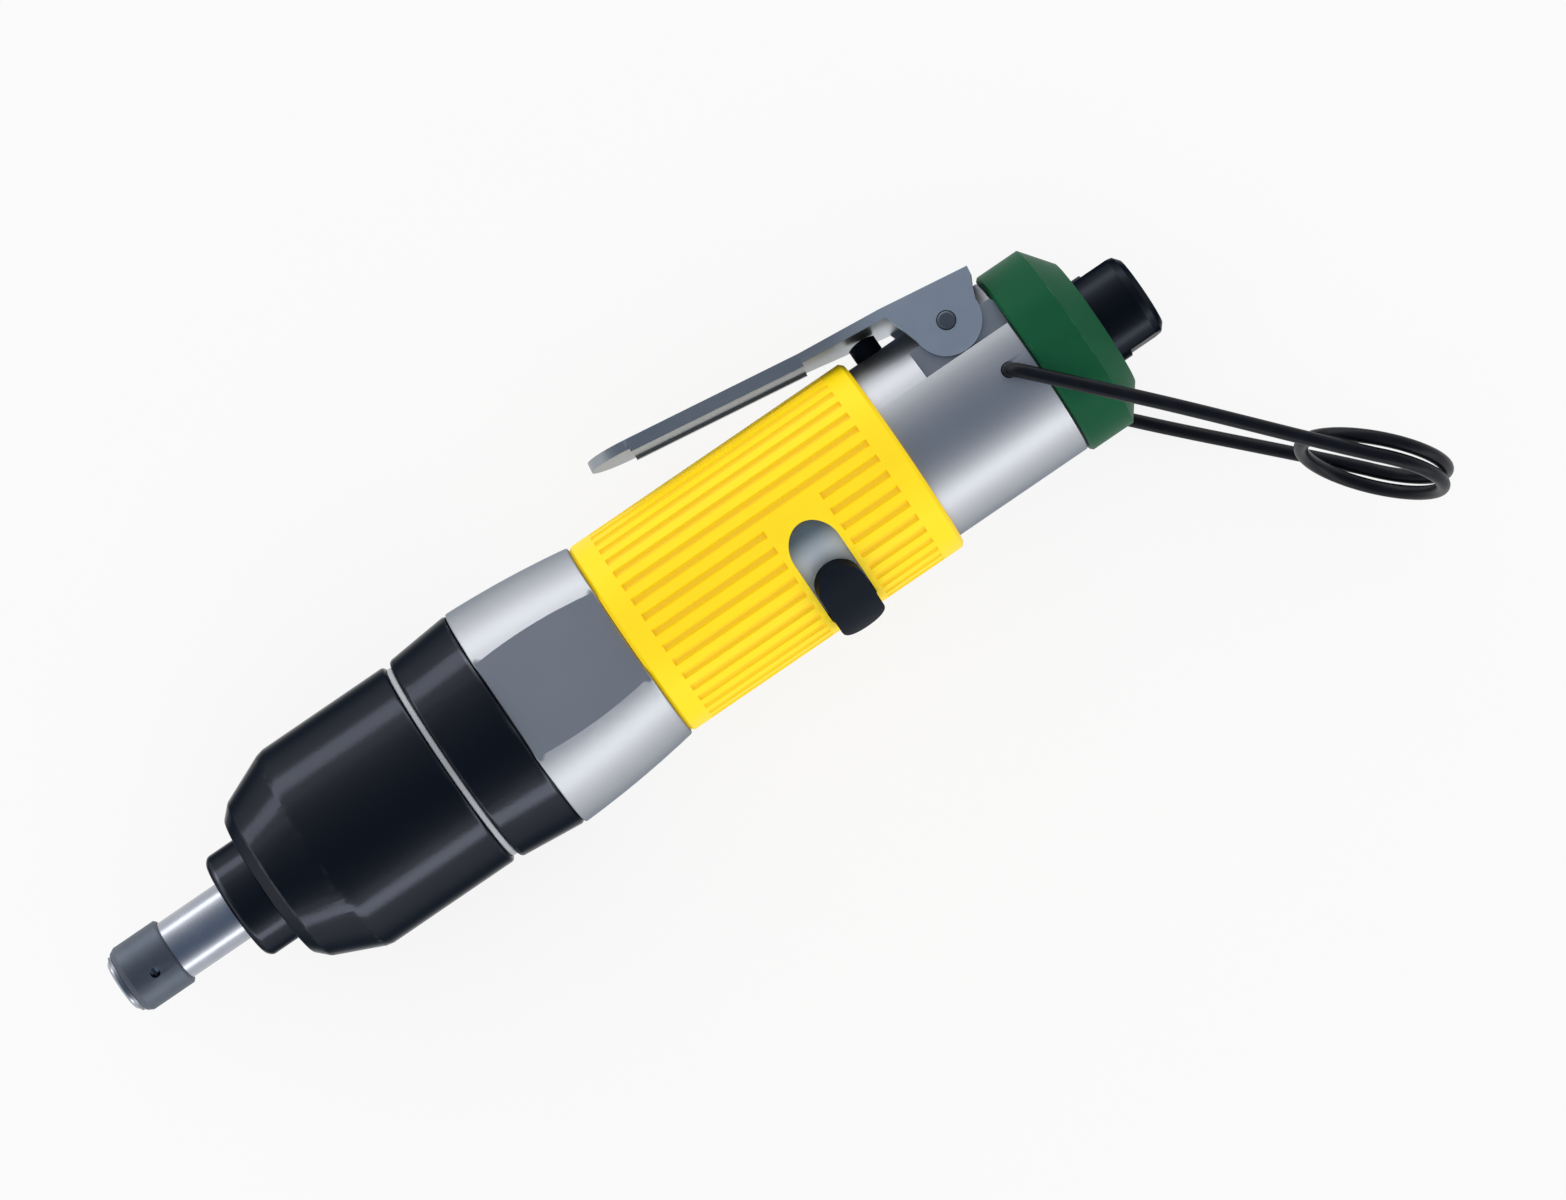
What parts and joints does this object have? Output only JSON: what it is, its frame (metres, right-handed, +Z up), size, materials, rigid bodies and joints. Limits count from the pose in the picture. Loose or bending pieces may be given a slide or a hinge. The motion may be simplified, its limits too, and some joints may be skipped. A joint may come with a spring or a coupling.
{
  "type": "pneumatic screwdriver",
  "caption": "Straight lever-start pneumatic screwdriver with a black clutch housing, yellow ribbed grip, reversing knob, green rear cap and a wire suspension bail.",
  "frame": {"origin": "middle of the bit socket's mouth, on the tool's axis", "axes": "+X from the bit mouth to the air inlet, +Y to the start lever, +Z up as the tool lies on its side"},
  "size_m": [0.2139, 0.0783, 0.0384],
  "materials": {
    "black_paint": "satin",
    "polished_aluminium": "polished",
    "bright_steel": "polished",
    "dark_steel": "ground",
    "lever_steel": "brushed",
    "spring_steel": "drawn",
    "bearing_bronze": "machined",
    "yellow_grip": "moulded",
    "black_plastic": "moulded",
    "green_cap": "satin",
    "black_wire": "dipped",
    "seal_rubber": "matte",
    "vane_composite": "machined",
    "zinc_plate": "plated",
    "felt": "felted"
  },
  "bodies": {
    "housing": {"nose_collar": "black_paint", "spindle_seal": "seal_rubber", "spindle_bush": "bearing_bronze", "clutch_housing": "black_paint", "joint_washer": "zinc_plate", "lock_ring": "black_paint", "gear_housing": "polished_aluminium", "carrier_bearing_outer": "dark_steel", "carrier_bearing_balls": "bright_steel", "ring_gear": "dark_steel", "motor_housing": "polished_aluminium", "front_end_plate": "dark_steel", "front_bearing_outer": "dark_steel", "front_bearing_balls": "bright_steel", "cylinder_liner": "dark_steel", "rear_end_plate": "dark_steel", "rear_bearing_outer": "dark_steel", "rear_bearing_balls": "bright_steel", "motor_spring_washer": "spring_steel", "grip_sleeve": "yellow_grip", "lever_pin": "dark_steel", "plunger_bush": "bearing_bronze", "valve_spring": "spring_steel", "rear_cap": "green_cap", "housing_o_ring": "seal_rubber", "silencer": "felt", "inlet_bush": "black_paint", "inlet_o_ring": "seal_rubber", "inlet_screen": "bearing_bronze"},
    "spindle": {"output_spindle": "bright_steel", "bit_ball": "bright_steel", "sleeve_snap_ring": "spring_steel", "chuck_spring": "spring_steel", "adjusting_nut": "dark_steel", "clutch_spring": "spring_steel", "clutch_balls": "bright_steel", "clutch_driver": "dark_steel", "planet_carrier": "dark_steel", "planet_pins": "bright_steel", "carrier_bearing_inner": "dark_steel"},
    "sleeve": {"bit_sleeve": "dark_steel"},
    "slip_disc": {"clutch_disc": "dark_steel"},
    "planet_a": {"planet_gear_1": "dark_steel"},
    "planet_b": {"planet_gear_2": "dark_steel"},
    "planet_c": {"planet_gear_3": "dark_steel"},
    "motor": {"rotor": "dark_steel", "vanes": "vane_composite", "sun_pinion": "dark_steel", "front_bearing_inner": "dark_steel", "rear_bearing_inner": "dark_steel"},
    "lever": {"throttle_lever": "lever_steel"},
    "plunger": {"throttle_plunger": "black_plastic", "plunger_o_ring": "seal_rubber"},
    "valve": {"tilt_valve": "dark_steel"},
    "reverser": {"reverse_ring": "bright_steel", "reverse_knob": "black_plastic"},
    "bail": {"suspension_bail": "black_wire"}
  },
  "joints": [
    {"name": "spindle_spin", "type": "hinge", "parent": "housing", "child": "spindle", "pos_m": [0.03, 0, 0], "axis": [1, 0, 0], "continuous": true},
    {"name": "motor_spin", "type": "hinge", "parent": "housing", "child": "motor", "pos_m": [0.116, 0, 0], "axis": [1, 0, 0], "continuous": true},
    {"name": "planet_a_spin", "type": "hinge", "parent": "spindle", "child": "planet_a", "pos_m": [0.082, 0.00675, 0], "axis": [1, 0, 0], "continuous": true},
    {"name": "planet_b_spin", "type": "hinge", "parent": "spindle", "child": "planet_b", "pos_m": [0.082, -0.00337, 0.00585], "axis": [1, 0, 0], "continuous": true},
    {"name": "planet_c_spin", "type": "hinge", "parent": "spindle", "child": "planet_c", "pos_m": [0.082, -0.00337, -0.00585], "axis": [1, 0, 0], "continuous": true},
    {"name": "sleeve_slide", "type": "slide", "parent": "spindle", "child": "sleeve", "axis": [1, 0, 0], "range_m": [0, 0.002], "stiffness_N_per_m": 1500, "springref_m": -0.001, "deforming": ["chuck_spring"]},
    {"name": "clutch_slip", "type": "slide", "parent": "spindle", "child": "slip_disc", "axis": [-1, 0, 0], "range_m": [0, 0.0015], "stiffness_N_per_m": 20000, "springref_m": -0.002, "deforming": ["clutch_spring"]},
    {"name": "lever_press", "type": "hinge", "parent": "housing", "child": "lever", "pos_m": [0.162, 0.012, 0], "axis": [0, 0, 1], "range_deg": [0, 5.25], "stiffness_Nm_per_rad": 2, "springref_deg": -11.46},
    {"name": "plunger_press", "type": "slide", "parent": "housing", "child": "plunger", "axis": [0, -1, 0], "range_m": [0, 0.0012]},
    {"name": "valve_tilt", "type": "hinge", "parent": "housing", "child": "valve", "pos_m": [0.15605, 0.0048, 0], "axis": [0, 0, 1], "range_deg": [0, 10.01], "deforming": ["valve_spring"]},
    {"name": "reverse_turn", "type": "hinge", "parent": "housing", "child": "reverser", "pos_m": [0.126, 0, 0], "axis": [-1, 0, 0], "range_deg": [0, 25]},
    {"name": "bail_swing", "type": "hinge", "parent": "housing", "child": "bail", "pos_m": [0.1654, 0, 0], "axis": [0, 0, 1], "range_deg": [-52.2, 146.8]}
  ],
  "couplings": [
    {"joint": "motor_spin", "follows": "spindle_spin", "ratio": 4.5},
    {"joint": "planet_a_spin", "follows": "spindle_spin", "ratio": -2.8},
    {"joint": "planet_b_spin", "follows": "spindle_spin", "ratio": -2.8},
    {"joint": "planet_c_spin", "follows": "spindle_spin", "ratio": -2.8},
    {"joint": "plunger_press", "follows": "lever_press", "m_per_rad": 0.01284},
    {"joint": "valve_tilt", "follows": "lever_press", "ratio": 1.905}
  ]
}
